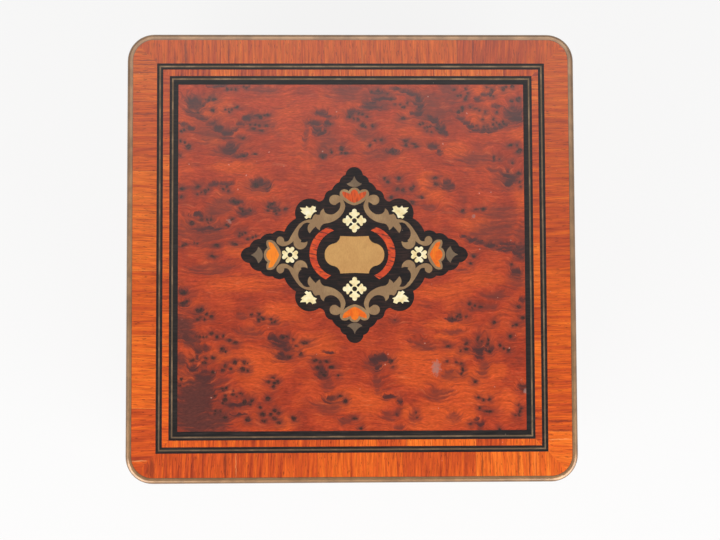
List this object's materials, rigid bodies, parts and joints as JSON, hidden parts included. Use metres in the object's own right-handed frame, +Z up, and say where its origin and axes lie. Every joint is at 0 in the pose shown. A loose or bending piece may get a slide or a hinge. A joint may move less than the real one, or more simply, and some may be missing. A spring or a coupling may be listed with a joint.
{
  "type": "wooden puzzle box",
  "caption": "Square marquetry casket with a hinged inlaid lid, a quarter-turn foot that locks it, and a drawer hidden behind the plinth moulding.",
  "frame": {"origin": "on the ground under the middle of the box", "axes": "+Z up, -Y towards the front, hinges at +Y, drawer at +X"},
  "size_m": [0.154, 0.154, 0.102],
  "materials": {
    "burl": "polished burl veneer",
    "crossband": "polished cross-grain veneer",
    "redwood": "polished red inlay",
    "ebony": "polished black wood",
    "brass": "aged, polished",
    "bone": "polished bone inlay",
    "oak": "plain carcass wood",
    "velvet": "velvet on card"
  },
  "bodies": {
    "case": {"base_board": "oak", "compartment_floor": "oak", "front_wall": "oak", "back_wall": "oak", "left_wall": "oak", "right_wall": "oak", "lock_post": "oak", "corner_posts": "oak", "drawer_runners": "oak", "floor_lining": "velvet", "wall_linings": "velvet", "case_burl_fields": "burl", "case_banding": "crossband", "case_ebony_strings": "ebony", "plinth_strips": "ebony", "plinth_corners": "ebony", "feet": "ebony", "case_brass_strings": "brass", "case_brass_rim": "brass", "hinge_case_leaves": "brass", "hinge_pins": "brass", "lock_bushes": "brass"},
    "lid": {"lid_board": "oak", "lid_front_rail": "oak", "lid_side_rails": "oak", "lid_back_rail": "oak", "lid_lock_block": "oak", "lid_corner_blocks": "oak", "lid_lining": "velvet", "lid_burl_field": "burl", "lid_face_burl_fields": "burl", "lid_outer_banding": "crossband", "lid_inner_banding": "crossband", "lid_face_banding": "crossband", "lid_ebony_strings": "ebony", "lid_face_ebony_strings": "ebony", "cartouche_ground": "ebony", "lid_brass_edge": "brass", "lid_brass_rim": "brass", "lid_brass_strings": "brass", "lid_face_brass_strings": "brass", "cartouche_plaque": "brass", "cartouche_scrolls": "brass", "cartouche_palmette_rims": "brass", "cartouche_finials": "brass", "hinge_lid_leaves": "brass", "strike_plate": "brass", "cartouche_flowers": "bone", "cartouche_leaves": "bone", "cartouche_palmettes": "redwood", "cartouche_crescents": "redwood"},
    "lock": {"lock_foot": "ebony", "lock_shaft": "brass", "lock_tee": "brass"},
    "drawer": {"drawer_moulding": "ebony", "drawer_front": "oak", "drawer_sides": "oak", "drawer_back": "oak", "drawer_bottom": "velvet"}
  },
  "joints": [
    {"name": "lid_hinge", "type": "hinge", "parent": "case", "child": "lid", "pos_m": [0, 0.075, 0.07415], "axis": [-1, 0, 0], "range_deg": [0, 95]},
    {"name": "lock_turn", "type": "hinge", "parent": "case", "child": "lock", "pos_m": [0.066, -0.066, 0.004], "axis": [0, 0, 1], "range_deg": [0, 90]},
    {"name": "drawer_slide", "type": "slide", "parent": "case", "child": "drawer", "axis": [1, 0, 0], "range_m": [0, 0.07]}
  ]
}
